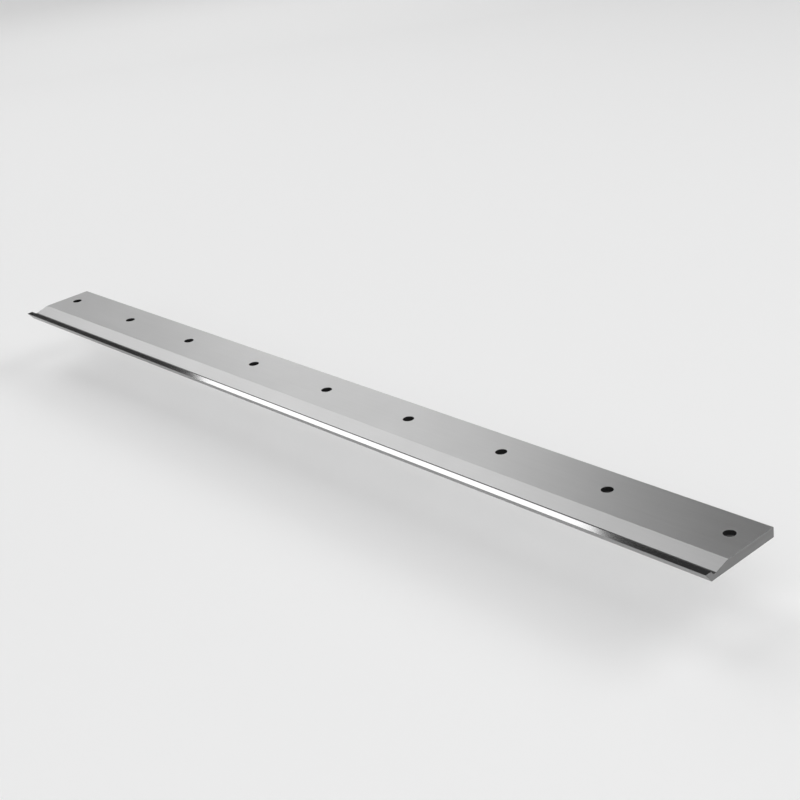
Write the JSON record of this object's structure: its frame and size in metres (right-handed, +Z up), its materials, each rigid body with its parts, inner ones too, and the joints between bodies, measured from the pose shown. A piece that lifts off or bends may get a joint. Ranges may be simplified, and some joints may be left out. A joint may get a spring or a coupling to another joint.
{
  "type": "counter knife",
  "caption": "Long flat steel counter knife with a raised cutting lip along its front, a ground bevel and groove behind the lip, and a row of countersunk screw holes near the back edge.",
  "frame": {"origin": "middle of the footprint, on the underside", "axes": "+X along the knife, +Y from the cutting edge to the back edge, +Z up from the underside to the top face"},
  "size_m": [0.7, 0.059, 0.0063],
  "materials": {
    "ground_steel": "satin ground faces with a polished lip land"
  },
  "bodies": {
    "root": {"counter_knife": "ground_steel"}
  },
  "joints": []
}
